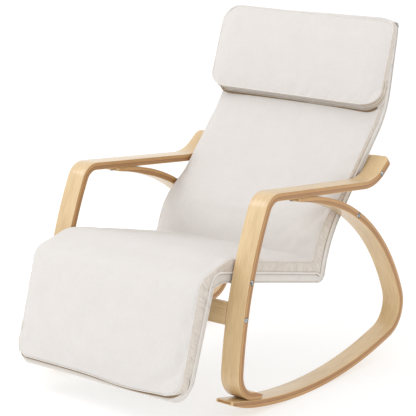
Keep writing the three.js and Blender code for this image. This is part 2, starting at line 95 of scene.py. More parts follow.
# the seat's underside, the crease and the curved back, up to where the top of the back begins
SEAT_START = (-246.0, 342.7)
SEAT_LENGTH = 420.5
SEAT_SLOPE = -12.0
CREASE_RADIUS, CREASE_TURN = 25, 90.6
SEAT_MOVES = [(SEAT_LENGTH,), (CREASE_RADIUS, CREASE_TURN), (321, -29.8), (254,), (240, 30.1)]
BACK_TOP = 177


def walk(start, heading, moves, chord=7.0):
    """Rows of y, z, heading and length along a list of moves, no further apart than chord."""
    p = np.array(start, float)
    angle = math.radians(heading)
    s = 0.0
    rows = [(p[0], p[1], angle, s)]
    for move in moves:
        turn = math.radians(move[1]) if len(move) > 1 else 0.0
        run = move[0] * abs(turn) if turn else move[0]
        count = max(1, math.ceil(run / chord), math.ceil(abs(turn) / math.radians(3)))
        for _ in range(count):
            half = turn / count / 2
            step = 2 * move[0] * math.sin(abs(half)) if turn else run / count
            p = p + step * np.array((math.cos(angle + half), math.sin(angle + half)))
            angle += 2 * half
            s += run / count
            rows.append((p[0], p[1], angle, s))
    return np.array(rows)


def at(path, s):
    """Rows of a path at lengths s."""
    s = np.atleast_1d(s)
    return np.stack([np.interp(s, path[:, 3], path[:, k]) for k in range(4)], 1)


def beside(rows, left):
    """Side-view points at a distance to the left of path rows."""
    left = np.broadcast_to(left, len(rows))
    return np.stack((rows[:, 0] - np.sin(rows[:, 2]) * left, rows[:, 1] + np.cos(rows[:, 2]) * left), 1)


def ease(t):
    """A smooth step from 0 to 1."""
    t = np.clip(t, 0, 1)
    return t * t * (3 - 2 * t)


def to_frame(x, yz):
    """Millimetres in side view to metres in the frame."""
    yz = np.asarray(yz, float)
    x = np.broadcast_to(x, yz.shape[:-1])
    return np.stack((x, yz[..., 0] - ORIGIN_Y, yz[..., 1]), -1) / 1000


facet_height = ROCKER_RADIUS * math.cos(math.radians(FACET_TURN / 2))
front_angle = math.radians(FRONT_TURN)
rocker_start = (
    CONTACT_Y - ROCKER_RADIUS * math.sin(front_angle),
    facet_height - ROCKER_RADIUS * math.cos(front_angle),
)
rocker = walk(rocker_start, -FRONT_TURN, ROCKER_MOVES)
tail_angle = math.asin(TAIL_REACH / TAIL_RADIUS)
arm_start = (CONTACT_Y - TAIL_REACH, facet_height - TAIL_RADIUS * math.cos(tail_angle))
arm = walk(arm_start, 180 - math.degrees(tail_angle), ARM_MOVES)
seat = walk(SEAT_START, SEAT_SLOPE, SEAT_MOVES + [(BACK_TOP,)])
BACK_START = SEAT_LENGTH + CREASE_RADIUS * math.radians(CREASE_TURN)
SEAT_END = seat[-1, 3]


# ---- mesh helpers ---------------------------------------------------------------------------------

def new_object(name, verts, faces):
    """A smooth-shaded mesh object in the scene."""
    mesh = bpy.data.meshes.new(name)
    mesh.from_pydata([tuple(v) for v in verts], [], [tuple(f) for f in faces])
    mesh.update()
    obj = bpy.data.objects.new(name, mesh)
    bpy.context.scene.collection.objects.link(obj)
    mesh.polygons.foreach_set("use_smooth", [True] * len(mesh.polygons))
    return obj


def coords(obj):
    co = np.zeros(len(obj.data.vertices) * 3)
    obj.data.vertices.foreach_get("co", co)
    return co.reshape(-1, 3)


def set_coords(obj, co):
    obj.data.vertices.foreach_set("co", np.asarray(co, float).ravel())
    obj.data.update()


def outward(obj):
    """Turns every face of a closed mesh outwards."""
    bm = bmesh.new()
    bm.from_mesh(obj.data)
    bmesh.ops.recalc_face_normals(bm, faces=bm.faces)
    bm.to_mesh(obj.data)
    bm.free()
    return obj


def apply_modifiers(obj):
    """Replaces the mesh by what its modifiers make of it."""
    depsgraph = bpy.context.evaluated_depsgraph_get()
    mesh = bpy.data.meshes.new_from_object(obj.evaluated_get(depsgraph))
    old = obj.data
    obj.modifiers.clear()
    obj.data = mesh
    bpy.data.meshes.remove(old)
    return obj


def sharpen(obj, degrees=35):
    """Smooth shading with sharp edges where faces meet at more than an angle."""
    bm = bmesh.new()
    bm.from_mesh(obj.data)
    for edge in bm.edges:
        edge.smooth = len(edge.link_faces) == 2 and edge.calc_face_angle(0) < math.radians(degrees)
    for face in bm.faces:
        face.smooth = True
    bm.to_mesh(obj.data)
    bm.free()
    return obj


# ---- materials ------------------------------------------------------------------------------------

PLY = 2.2  # thickness of one ply, in millimetres
FACE_COAT = 0.7
EDGE_COAT = 0.25
WEAVE_ACROSS = 5200.0  # threads across and down, in radians per metre
WEAVE_DOWN = 4300.0
GATHER_SCALE = (260, 26, 1)


class Shader:
    """A small builder for node materials."""

    def __init__(self, name, roughness, **inputs):
        self.material = bpy.data.materials.new(name)
        self.material.use_nodes = True
        self.tree = self.material.node_tree
        self.surface = self.tree.nodes["Principled BSDF"]
        self.surface.inputs["Roughness"].default_value = roughness
        for key, value in inputs.items():
            self.surface.inputs[key.replace("_", " ")].default_value = value

    def node(self, kind, links=None, **settings):
        made = self.tree.nodes.new(kind)
        for key, value in settings.items():
            if hasattr(made, key):
                setattr(made, key, value)
            else:
                made.inputs[key.replace("_", " ")].default_value = value
        for key, source in (links or {}).items():
            self.tree.links.new(source, made.inputs[key])
        return made

    def math(self, operation, a, b=0.0, clamp=False):
        made = self.node("ShaderNodeMath", operation=operation, use_clamp=clamp)
        for socket, value in zip(made.inputs, (a, b)):
            if isinstance(value, (int, float)):
                socket.default_value = value
            else:
                self.tree.links.new(value, socket)
        return made.outputs[0]

    def scaled(self, vector, scale):
        made = self.node("ShaderNodeVectorMath", {0: vector}, operation="MULTIPLY")
        made.inputs[1].default_value = scale
        return made.outputs[0]

    def noise(self, vector, scale, detail=2.0, roughness=0.5):
        made = self.node(
            "ShaderNodeTexNoise", {"Vector": vector}, Scale=scale, Detail=detail, Roughness=roughness
        )
        return made.outputs["Fac"]

    def ramp(self, value, stops):
        made = self.node("ShaderNodeValToRGB", {"Fac": value})
        ramp = made.color_ramp
        while len(ramp.elements) < len(stops):
            ramp.elements.new(0.5)
        for element, (place, color) in zip(ramp.elements, stops):
            element.position = place
            element.color = (*color, 1)
        return made.outputs["Color"]

    def mix(self, factor, a, b):
        made = self.node("ShaderNodeMix", data_type="RGBA")
        for socket, value in ((made.inputs[0], factor), (made.inputs[6], a), (made.inputs[7], b)):
            if isinstance(value, (int, float)):
                socket.default_value = value
            elif isinstance(value, tuple):
                socket.default_value = (*value, 1)
            else:
                self.tree.links.new(value, socket)
        return made.outputs[2]

    def color(self, source):
        self.tree.links.new(source, self.surface.inputs["Base Color"])

    def rough(self, source):
        self.tree.links.new(source, self.surface.inputs["Roughness"])

    def bump(self, height, strength, distance):
        made = self.node("ShaderNodeBump", {"Height": height}, Strength=strength, Distance=distance)
        self.tree.links.new(made.outputs[0], self.surface.inputs["Normal"])


def wood(name, dark, light, line=None, uv="grain", stretch=(3, 90, 1), roughness=0.42):
    """Lacquered birch: long fine grain, a slow change of tone, and ply lines on cut edges."""
    coat = EDGE_COAT if line else FACE_COAT
    shader = Shader(name, roughness, Specular_IOR_Level=0.5, Coat_Weight=coat, Coat_Roughness=0.22)
    if uv:
        vector = shader.node("ShaderNodeUVMap", uv_map=uv).outputs[0]
    else:
        vector = shader.node("ShaderNodeTexCoord").outputs["Object"]
    grain = shader.noise(shader.scaled(vector, stretch), 6, 5, 0.6)
    cloud = shader.noise(shader.scaled(vector, (2.0, 9.0, 1)), 3, 2)
    fleck = shader.noise(shader.scaled(vector, tuple(c * 3 for c in stretch)), 9, 2)
    tone = shader.math("ADD", shader.math("MULTIPLY", grain, 0.65), shader.math("MULTIPLY", cloud, 0.35))
    color = shader.ramp(tone, [(0.36, dark), (0.62, light)])
    color = shader.mix(shader.math("MULTIPLY", shader.math("GREATER_THAN", fleck, 0.66), 0.18), color, dark)
    if line:
        place = shader.node("ShaderNodeUVMap", uv_map="plies").outputs[0]
        depth = shader.node("ShaderNodeSeparateXYZ", {0: place})
        plies = shader.math("MULTIPLY", depth.outputs[1], 1000 / PLY)
        edge = shader.math("ABSOLUTE", shader.math("SUBTRACT", shader.math("FRACT", plies), 0.5))
        glue = shader.math("GREATER_THAN", edge, 0.4)
        ply = shader.node("ShaderNodeCombineXYZ", {1: shader.math("FLOOR", plies)})
        shade = shader.node("ShaderNodeTexWhiteNoise", {"Vector": ply.outputs[0]}, noise_dimensions="3D")
        dark_ply = shader.math("MULTIPLY", shader.math("SUBTRACT", shade.outputs[0], 0.35, True), 1.3)
        streak = shader.noise(shader.scaled(place, (14, 1600, 1)), 1, 2)
        streak = shader.math("MULTIPLY", shader.math("GREATER_THAN", streak, 0.62), 0.3)
        color = shader.mix(shader.math("MULTIPLY", dark_ply, 0.85, True), color, line)
        color = shader.mix(shader.math("MULTIPLY", glue, 0.55), color, line)
        color = shader.mix(streak, color, dark)
    shader.color(color)
    shader.rough(shader.math("ADD", shader.math("MULTIPLY", grain, 0.2), roughness - 0.1))
    shader.bump(grain, 0.25, 0.0004)
    return shader.material


def cotton(name, light, shade, roughness=0.9, gathers=0.0):
    """Off-white woven cotton: a fine plain weave, slubs, a soft cloudiness and, if asked, small gathers with
    painted shade in their creases.
    """
    shader = Shader(name, roughness, Sheen_Weight=0.25, Sheen_Roughness=0.5, Specular_IOR_Level=0.2)
    place = shader.node("ShaderNodeTexCoord").outputs["Object"]
    cloud = shader.noise(place, 22, 3)
    slub = shader.noise(shader.scaled(place, (40, 900, 900)), 1, 2)
    slub_up = shader.noise(shader.scaled(place, (900, 60, 60)), 1, 2)
    threads = shader.math("ADD", shader.math("MULTIPLY", slub, 0.5), shader.math("MULTIPLY", slub_up, 0.5))
    tone = shader.math("ADD", shader.math("MULTIPLY", cloud, 0.25), shader.math("MULTIPLY", threads, 0.75))
    color = shader.ramp(tone, [(0.35, shade), (0.6, light)])
    if gathers:
        seam = shader.node("ShaderNodeUVMap", uv_map="seam").outputs[0]
        parts = shader.node("ShaderNodeSeparateXYZ", {0: seam})
        slanted = shader.math("ADD", parts.outputs[0], shader.math("MULTIPLY", parts.outputs[1], 0.25))
        seam = shader.node("ShaderNodeCombineXYZ", {0: slanted, 1: parts.outputs[1]}).outputs[0]
        fold = shader.noise(shader.scaled(seam, GATHER_SCALE), 1, 1)
        # painted shade: where the gathers fold in, the colour is darkened towards the shade tone
        crease = shader.math("MULTIPLY", shader.math("SUBTRACT", fold, 0.5, True), 3.0, True)
        color = shader.mix(crease, color, tuple(c * 0.78 for c in shade))
    shader.color(color)
    axes = shader.node("ShaderNodeSeparateXYZ", {0: place})
    across = shader.math("SINE", shader.math("MULTIPLY", axes.outputs[0], WEAVE_ACROSS))
    down = shader.math("ADD", axes.outputs[1], axes.outputs[2])
    down = shader.math("SINE", shader.math("MULTIPLY", down, WEAVE_DOWN))
    weave = shader.math("MULTIPLY", across, down)
    height = shader.math("ADD", shader.math("MULTIPLY", weave, 0.5), shader.math("MULTIPLY", threads, 1.4))
    if gathers:
        height = shader.math("SUBTRACT", height, shader.math("MULTIPLY", fold, gathers))
    shader.bump(height, 0.35, 0.0006)
    return shader.material


def metal(name, color, roughness):
    """Plated steel with darker stains."""
    shader = Shader(name, roughness, Metallic=1.0)
    place = shader.node("ShaderNodeTexCoord").outputs["Object"]
    stain = shader.noise(place, 150, 2)
    shader.color(shader.ramp(stain, [(0.42, tuple(c * 0.3 for c in color)), (0.6, color)]))
    shader.rough(shader.math("ADD", shader.math("MULTIPLY", stain, 0.25), roughness - 0.1))
    shader.bump(shader.noise(place, 900, 2), 0.1, 0.0002)
    return shader.material


BIRCH_DARK = (0.55, 0.37, 0.18)
BIRCH_LIGHT = (0.715, 0.53, 0.295)
face_wood = wood("birch_face", BIRCH_DARK, BIRCH_LIGHT)
# ply edges: ply lines and a darker ply tone, with the base tones set darker still as painted shade on the
# strips' side and end faces
edge_wood = wood(
    "birch_plies_and_side_shade", (0.42, 0.21, 0.067), (0.61, 0.35, 0.13), (0.20, 0.07, 0.016), "plies", (3, 200, 1)
)
rail_wood = wood("birch_rail", BIRCH_DARK, BIRCH_LIGHT, None, None, (3, 90, 90))
inner_wood = wood("pine_inner", (0.55, 0.38, 0.20), (0.72, 0.54, 0.32), None, None, (3, 60, 60), 0.6)
# painted shade: near-black birch for the bolt recesses, standing in for the shadow inside them
recess_shade_wood = wood("birch_recess_painted_shade", (0.16, 0.09, 0.04), (0.26, 0.15, 0.07), None, None, (3, 60, 60), 0.7)
cushion_cotton = cotton("cotton_cushion", (0.705, 0.675, 0.65), (0.665, 0.635, 0.61))
sleeve_cotton = cotton("cotton_sleeve", (0.71, 0.675, 0.63), (0.66, 0.62, 0.575))
# painted shade: the gusset cotton is a darker beige copy of the cushion cotton, standing in for the shade on
# the cushion's sides
gusset_shade_cotton = cotton("cotton_gusset_painted_shade", (0.69, 0.63, 0.57), (0.61, 0.545, 0.48), 0.9, 14.0)
# painted shade: the band cotton is a darker beige copy of the cushion cotton for the shaded sides of the
# pillow
band_shade_cotton = cotton("cotton_band_painted_shade", (0.67, 0.605, 0.54), (0.60, 0.53, 0.465))
# painted shadow: a near-brown cotton for the thin tubes laid where gaps and folds lie in deep shade
fold_shadow_cotton = cotton("cotton_painted_fold_shadow", (0.30, 0.21, 0.12), (0.20, 0.13, 0.07))
# painted shade: a mid-brown cotton for the thinner tubes laid along shaded creases and gaps
crease_shade_cotton = cotton("cotton_painted_crease_shade", (0.55, 0.47, 0.37), (0.46, 0.38, 0.29))
piping_cotton = cotton("cotton_piping", (0.78, 0.75, 0.71), (0.70, 0.66, 0.62))
zinc = metal("zinc", (0.60, 0.66, 0.70), 0.24)

# ---- the bent strips ------------------------------------------------------------------------------

ARRIS = 2.4
RING = 20
HEAD_RADIUS, HEAD_DEPTH = 8.0, 4.6
HOLE_RADIUS, HOLE_DEPTH = 3.3, 70


def strip_ring(half_out, half_in, thick):
    """A rounded rectangle: (x from the strip's middle, depth) and which points lie on the cut edges."""
    r = min(ARRIS, thick * 0.42)
    ring = []
    corners = ((half_out, thick, 0), (-half_in, thick, 90), (-half_in, 0, 180), (half_out, 0, 270))
    for cx, cy, start in corners:
        mx = cx - r if cx > 0 else cx + r
        my = cy - r if cy > 0 else cy + r
        for k in range(5):
            a = math.radians(start + 90 * k / 4)
            ring.append((mx + r * math.cos(a), my + r * math.sin(a)))
    return ring


def corner_cut(distance, radius):
    """How far a corner rounded in plan stands back at a distance from the strip's end."""
    if not radius or distance >= radius:
        return 0.0
    return radius - math.sqrt(max(0.0, radius**2 - (radius - distance) ** 2))


def sweep_strip(name, path, inward, faces_at, sign, ends):
    """A strip swept along a path. ends gives the plan radii of its corners: outer, inner at each end.

    faces_at gives the depths of its two faces from the path."""
    total = path[-1, 3]
    near = np.array([0, 0.6, 1.8, 3.6, 6, 9, 13])
    keep = path[(path[:, 3] > 15) & (path[:, 3] < total - 15), 3]
    lengths = np.concatenate((near, keep, total - near[::-1]))
    rows = at(path, lengths)
    half = STRIP_WIDTH / 2
    verts, uvs = [], []
    for row in rows:
        s = row[3]
        first, last = s, total - s
        out = half - max(corner_cut(first, ends[0][0]), corner_cut(last, ends[1][0]))
        inn = half - max(corner_cut(first, ends[0][1]), corner_cut(last, ends[1][1]))
        base, top = faces_at(s, total)
        t = top - base
        soft = min(first, last)
        squeeze = corner_cut(soft, min(1.8, t / 3))
        for x, depth in strip_ring(out - squeeze, inn - squeeze, t):
            depth = min(max(depth, squeeze), t - squeeze)
            place = beside(row[None], inward * (base + depth))[0]
            verts.append(to_frame(sign * (HALF_WIDTH - half + x), place))
            uvs.append((s / 1000, x / 1000, (base + depth) / 1000))
    faces = []
    for i in range(len(rows) - 1):
        for k in range(RING):
            a, b = i * RING + k, i * RING + (k + 1) % RING
            faces.append((a, b, b + RING, a + RING))
    faces.append(tuple(range(RING)))
    faces.append(tuple(range((len(rows) - 1) * RING, len(rows) * RING))[::-1])
    obj = outward(new_object(name, verts, faces))
    mesh = obj.data
    grain = mesh.uv_layers.new(name="grain")
    plies = mesh.uv_layers.new(name="plies")
    for loop in mesh.loops:
        s, x, depth = uvs[loop.vertex_index]
        grain.data[loop.index].uv = (s, x)
        plies.data[loop.index].uv = (s, depth)
    mesh.materials.append(face_wood)
    mesh.materials.append(edge_wood)
    for polygon in mesh.polygons:
        across = abs(polygon.normal.x)
        is_end = len(polygon.vertices) > 4
        polygon.material_index = 1 if across > 0.72 or is_end else 0
    return obj


def cylinder(spot, radius, x0, x1, count=40):
    """A closed cylinder across the chair, for cutting."""
    y, z = to_frame(0, spot)[1:]
    verts = []
    for x in (x0 / 1000, x1 / 1000):
        for k in range(count):
            a = 2 * math.pi * k / count
            verts.append((x, y + radius / 1000 * math.cos(a), z + radius / 1000 * math.sin(a)))
    faces = [(k, (k + 1) % count, count + (k + 1) % count, count + k) for k in range(count)]
    faces += [tuple(range(count))[::-1], tuple(range(count, 2 * count))]
    return outward(new_object("cutter", verts, faces))


def drill(obj, spots, sign):
    """Bolt holes with recesses for the heads, on the bolts' own axes."""
    for spot in spots:
        for radius, depth in ((HEAD_RADIUS, HEAD_DEPTH), (HOLE_RADIUS, HOLE_DEPTH)):
            cutter = cylinder(spot, radius, sign * (HALF_WIDTH - depth), sign * (HALF_WIDTH + 5))
            # the cut faces take the dark recess wood: painted shade in the recess
            cutter.data.materials.append(recess_shade_wood)
            modifier = obj.modifiers.new("drill", "BOOLEAN")
            modifier.operation = "DIFFERENCE"
            modifier.solver = "EXACT"
            modifier.object = cutter
            apply_modifiers(obj)
            mesh = cutter.data
            bpy.data.objects.remove(cutter)
            bpy.data.meshes.remove(mesh)
    return obj


def bolt_spot(name):
    """A bolt's axis in side view, taken from the frame."""
    low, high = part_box(name)
    middle = (low + high) / 2
    return (middle.y * 1000 + ORIGIN_Y, middle.z * 1000)


TOE_TAPER = 95
END_THICK, END_TAPER = 9, 120
TAIL_THICK = 11


def rocker_faces(s, total):
    """The rocker thins at its front end from both faces, and to its end under the arm."""
    toe = max(0, 1 - s / TOE_TAPER) ** 2
    end = END_THICK + (STRIP_THICK - END_THICK) * (total - s) / END_TAPER
    return 8 * toe, min(STRIP_THICK, end) - 3 * toe


def arm_faces(s, _total):
    """The arm strip thins to the end of its tail on the rocker."""
    return 0.0, min(STRIP_THICK, TAIL_THICK + s * 0.25)


ARM_BOLTS = ("seat_front", "stretcher", "arm_end")


for side, sign in (("left", 1), ("right", -1)):
    arm_piece = sweep_strip("bent_arm_leg_" + side, arm, -1, arm_faces, sign, ((8, 8), (16, 6)))
    drill(arm_piece, [bolt_spot(f"bolt_{key}_{side}") for key in ARM_BOLTS], sign)
    rocker_piece = sweep_strip("bent_rocker_" + side, rocker, 1, rocker_faces, sign, ((7, 5), (3, 9)))
    drill(rocker_piece, [bolt_spot("bolt_lower_back_" + side)], sign)
    for piece, node in ((arm_piece, "arm_leg_" + side), (rocker_piece, "rocker_" + side)):
        sharpen(piece, 40)
        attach(piece, "chair")
        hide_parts(node)

# ---- CAD pieces that stay -------------------------------------------------------------------------

for name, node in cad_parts.items():
    if name.startswith(("bolt_", "nut_", "hinge_", "arm_screw", "foot_screw", "zip_pull")):
        look = zinc
    elif name in ("front_stretcher", "upper_back_rail"):
        look = rail_wood
    else:
        look = inner_wood
    node.data.materials.clear()
    node.data.materials.append(look)
    if look is not zinc:
        weld = node.modifiers.new("weld", "WELD")
        weld.merge_threshold = 2e-5
        bevel = node.modifiers.new("bevel", "BEVEL")
        bevel.width = 0.0016
        bevel.segments = 2
        bevel.limit_method = "ANGLE"
        bevel.angle_limit = math.radians(50)

# ---- padded pieces --------------------------------------------------------------------------------


def box_grid(name, counts, place):
    """A closed box of quads: place(i, j, k) gives each surface point."""
    ns, nx, nk = counts
    index, verts = {}, []
    for i in range(ns + 1):
        for j in range(nx + 1):
            for k in range(nk + 1):
                if i in (0, ns) or j in (0, nx) or k in (0, nk):
                    index[i, j, k] = len(verts)
                    verts.append(place(i, j, k))
    faces = []
    for k in (0, nk):
        faces += [(index[i, j, k], index[i + 1, j, k], index[i + 1, j + 1, k], index[i, j + 1, k])
                  for i in range(ns) for j in range(nx)]
    for j in (0, nx):
        faces += [(index[i, j, k], index[i + 1, j, k], index[i + 1, j, k + 1], index[i, j, k + 1])
                  for i in range(ns) for k in range(nk)]
    for i in (0, ns):
        faces += [(index[i, j, k], index[i, j + 1, k], index[i, j + 1, k + 1], index[i, j, k + 1])
                  for j in range(nx) for k in range(nk)]
    return outward(new_object(name, verts, faces)), index


def side_faces(obj, index, counts, lengths, deep=0.045):
    """Gives the faces at a box grid's two sides the second material, and a map along the seam."""
    ns, nx, nk = counts
    along = {n: (lengths[i] / 1000, deep * k / nk) for (i, j, k), n in index.items()}
    layer = obj.data.uv_layers.new(name="seam")
    for loop in obj.data.loops:
        layer.data[loop.index].uv = along[loop.vertex_index]
    first = 2 * ns * nx
    for number, polygon in enumerate(obj.data.polygons):
        polygon.material_index = 1 if first <= number < first + 2 * ns * nk else 0


def resample(points, count):
    """Points at even distances along a polyline."""
    points = np.asarray(points, float)
    lengths = np.concatenate(([0], np.cumsum(np.linalg.norm(np.diff(points, axis=0), axis=1))))
    s = np.linspace(0, lengths[-1], count + 1)
    return np.stack([np.interp(s, lengths, points[:, k]) for k in (0, 1)], 1)


def chain(parts):
    """Joins resampled parts, dropping the doubled points between them."""
    return np.concatenate([parts[0]] + [part[1:] for part in parts[1:]])


COUNTS = {"back": 62, "corner": 6, "seat": 34, "knee": 14, "foot": 24}
CORNER_REACH = 35


def back_offset(s):
    """Depth of back cushion and sleeve together: fullest in the small of the back."""
    return 37 + 27 * (1 - ease((s - BACK_START - 80) / 140))


back_s = np.linspace(SEAT_END, BACK_START + CORNER_REACH, COUNTS["back"] + 1)
corner_s = np.linspace(BACK_START + CORNER_REACH, SEAT_LENGTH, COUNTS["corner"] + 1)


def layer(offset, knee_moves, foot_length, bend_start):
    """A line through the whole chair, from the top of the back to the foot of the footrest."""
    back = beside(at(seat, back_s), offset(back_s))
    corner = beside(at(seat, corner_s), offset(corner_s))
    seat_s = np.linspace(SEAT_LENGTH, bend_start, COUNTS["seat"] + 1)
    seat_line = beside(at(seat, seat_s), offset(bend_start))
    seat_line[0] = corner[-1]
    start = beside(at(seat, bend_start), offset(bend_start))[0]
    knee_path = walk(start, 180 + SEAT_SLOPE, knee_moves, 3)
    knee = resample(knee_path[:, :2], COUNTS["knee"])
    foot_path = walk(knee[-1], math.degrees(knee_path[-1, 2]), [(foot_length,)])
    foot = resample(foot_path[:, :2], COUNTS["foot"])
    return chain([back, corner, seat_line, knee, foot])


def sleeve_depth(s):
    """Depth of the sleeve over the inner frame: thinner under the seat."""
    s = np.asarray(s, float)
    return 24 - 5.5 * ease((s - SEAT_LENGTH + 40) / 60)


bottom_line = layer(lambda s: np.zeros(np.shape(s)), [(60, 17), (28,), (14, 66.4)], 261, 24.5)
middle_line = layer(sleeve_depth, [(50, 83.4)], 267, 5)

# the cushion's top, with the crease between back and seat
SEAT_REAR = (134.0, 320.4)
SEAT_FRONT = (-185.0, 388.5)
top_back = beside(at(seat, back_s), back_offset(back_s))
crease = np.array([top_back[-1], (141.8, 324.2), (139.2, 321.0), SEAT_REAR])
top_seat = resample([SEAT_REAR, SEAT_FRONT], COUNTS["seat"])
knee_walk = walk(SEAT_FRONT, 168, [(110, 27), (71,), (40, 59)], 3)
top_knee = resample(knee_walk[:, :2], COUNTS["knee"])
top_foot = resample(walk(top_knee[-1], 254, [(258,)])[:, :2], COUNTS["foot"])
top_line = chain([top_back, resample(crease, COUNTS["corner"]), top_seat, top_knee, top_foot])

STATIONS = len(top_line) - 1
NX = 48
CUSHION_LAYERS = 5
SLEEVE_LAYERS = 3
station = np.arange(STATIONS + 1) / STATIONS
edges = np.cumsum([0, *COUNTS.values()])
foot_part = ease((np.arange(STATIONS + 1) - edges[3] - 4) / 10)
EDGE_ROUND = 12.0
SEAM_SHARE = 0.293  # how far out a seam lies half way round a rounded edge, as a share of its radius
FOOT_CORNERS = (28.0, 44.0)  # on the sitter's right and left
TOP_CORNER = 20


def unit_up(low, high):
    """Directions from one line to the other."""
    direction = high - low
    return direction / np.maximum(np.linalg.norm(direction, axis=1), 1e-6)[:, None]


def arc_drop(distance, radius):
    """How far a rounded edge stands back at a distance from its seam, which lies half way round it."""
    reach = SEAM_SHARE * radius + distance
    return 0.0 if reach >= radius else radius - math.sqrt(radius**2 - (radius - reach) ** 2)


def run_lengths(line):
    """Length along a polyline at each of its points."""
    return np.concatenate(([0], np.cumsum(np.linalg.norm(np.diff(line, axis=0), axis=1))))


def slab(name, low, high, half, layers, crown, bulge, rounding, plan_round, sag=None):
    """A padded layer between two lines, crowned on top, with a rounded upper rim."""
    up = unit_up(low, high)
    depth = np.linalg.norm(high - low, axis=1)
    lengths = run_lengths(low)
    left = lengths[-1] - lengths
    along = np.gradient(high, axis=0)
    along = along / np.linalg.norm(along, axis=1)[:, None]
    ends = np.minimum(1, np.minimum(station, 1 - station) * STATIONS / 7)
    fullness = 1 - (1 - ends) ** 2

    def place(i, j, k):
        v = 2 * j / NX - 1
        v = math.copysign(1 - (1 - abs(v)) ** 1.3, v)
        w = k / layers
        corner = plan_round[v > 0]
        wide = half[i] - corner_cut(left[i], corner) - corner_cut(lengths[i], min(corner * 0.6, TOP_CORNER))
        lift = crown[i] * fullness[i] * (1 - abs(v) ** 3) * (w if w > 0.5 else 0)
        if k == layers:
            lift -= arc_drop((1 - abs(v)) * wide, rounding)
        inset = arc_drop((1 - w) * depth[i], rounding) if j in (0, NX) else 0
        if k == layers:
            inset = SEAM_SHARE * rounding * abs(v) ** 3
        swell = bulge[i] * 4 * w * (1 - w) if j in (0, NX) else 0
        point = low[i] + (high[i] - low[i]) * w + up[i] * lift
        if sag is not None:
            point = point + along[i] * sag(v, w) * ease(1 - left[i] / 60)
        return to_frame(v * (wide + swell - inset), point)

    return box_grid(name, (STATIONS, NX, layers), place)


def tube(name, points, radius, sides=8, closed=False):
    """A round cord of fabric along points, for piping and for the painted shadow lines laid in gaps and
    folds.
    """
    points = [Vector(p) for p in points]
    n = len(points)
    verts, faces = [], []
    normal = None
    for i, p in enumerate(points):
        before = points[i - 1] if i or closed else p
        after = points[(i + 1) % n] if i < n - 1 or closed else p
        tangent = (after - before).normalized()
        if normal is None:
            normal = tangent.orthogonal().normalized()
        normal = (normal - tangent * normal.dot(tangent)).normalized()
        other = tangent.cross(normal)
        for k in range(sides):
            a = 2 * math.pi * k / sides
            verts.append(p + (normal * math.cos(a) + other * math.sin(a)) * radius)
    for i in range(n if closed else n - 1):
        a, b = i * sides, ((i + 1) % n) * sides
        faces += [(a + k, a + (k + 1) % sides, b + (k + 1) % sides, b + k) for k in range(sides)]
    if not closed:
        faces += [tuple(range(sides))[::-1], tuple(range((n - 1) * sides, n * sides))]
    return outward(new_object(name, verts, faces))


PUFF_FRAMES = 20
CLOTH_STIFFNESS = 12.0


def puff(obj, pinned, cap, pressure, grow=0.03):
    """Blows a padded piece up as cloth, held at its pinned points and moved by at most cap metres."""
    before = coords(obj)
    group = obj.vertex_groups.new(name="held")
    group.add([int(n) for n in pinned], 1.0, "REPLACE")
    modifier = obj.modifiers.new("cloth", "CLOTH")
    cloth = modifier.settings
    cloth.quality = 6
    cloth.mass = 0.25
    cloth.tension_stiffness = CLOTH_STIFFNESS
    cloth.compression_stiffness = CLOTH_STIFFNESS
    cloth.shear_stiffness = 4
    cloth.bending_stiffness = 0.4
    cloth.air_damping = 4
    cloth.use_pressure = True
    cloth.uniform_pressure_force = pressure
    cloth.shrink_min = -grow
    cloth.vertex_group_mass = "held"
    cloth.effector_weights.gravity = 0
    modifier.collision_settings.use_collision = False
    modifier.point_cache.frame_start = 1
    modifier.point_cache.frame_end = PUFF_FRAMES
    for number in range(1, PUFF_FRAMES + 1):
        bpy.context.scene.frame_set(number)
    evaluated = obj.evaluated_get(bpy.context.evaluated_depsgraph_get())
    after = np.array([v.co for v in evaluated.data.vertices])
    obj.modifiers.clear()
    obj.vertex_groups.clear()
    bpy.context.scene.frame_set(1)
    move = after - before
    far = np.linalg.norm(move, axis=1)
    scale = np.where(far > 1e-9, cap * np.tanh(far / cap) / np.maximum(far, 1e-9), 0)
    set_coords(obj, before + move * scale[:, None])
    return obj


def soft(obj, material, slot, fill=None, second=None):
    """The material of a fabric piece, and a second one for its sides if given; the slot is not used."""
    numbers = [polygon.material_index for polygon in obj.data.polygons]
    obj.data.materials.clear()
    obj.data.materials.append(material)
    if second:
        obj.data.materials.append(second)
        obj.data.polygons.foreach_set("material_index", numbers)
    return obj


def subdivide(obj):
    modifier = obj.modifiers.new("smooth", "SUBSURF")
    modifier.levels = 1
    modifier.render_levels = 1
    return apply_modifiers(obj)


def rim_points(obj, index, counts, k):
    """Points round the rim of a slab's face at layer k."""
    ns, nx = counts
    co = coords(obj)
    ring = [(i, 0) for i in range(ns)] + [(ns, j) for j in range(nx)]
    ring += [(i, nx) for i in range(ns, 0, -1)] + [(0, j) for j in range(nx, 0, -1)]
    return np.array([co[index[i, j, k]] for i, j in ring])


def spread(points, out):
    """Rim points moved away from the middle plane."""
    points = points.copy()
    points[:, 0] += np.sign(points[:, 0]) * out
    return points


# the long cushion and the sleeve under it, in values for each station from the top of the back to the foot
half_line = 269.5 + 6.5 * foot_part
crown_line = 6 + 5 * foot_part
crown_line[edges[2]:edges[4]] = 2.5 + 8.5 * foot_part[edges[2]:edges[4]] ** 2
crown_line[edges[1] - 6:edges[2] + 5] *= 0.4
bulge_line = 1.2 + 4 * foot_part
low_cushion = middle_line + unit_up(middle_line, top_line) * 1.2


def foot_hang(v):
    """The cushion's lower edge hangs lower on the sitter's left."""
    return 7.5 * math.exp(-(((v - 0.45) / 0.42) ** 2))


def foot_sag(v, w):
    return foot_hang(v) * (0.3 + 0.7 * w)


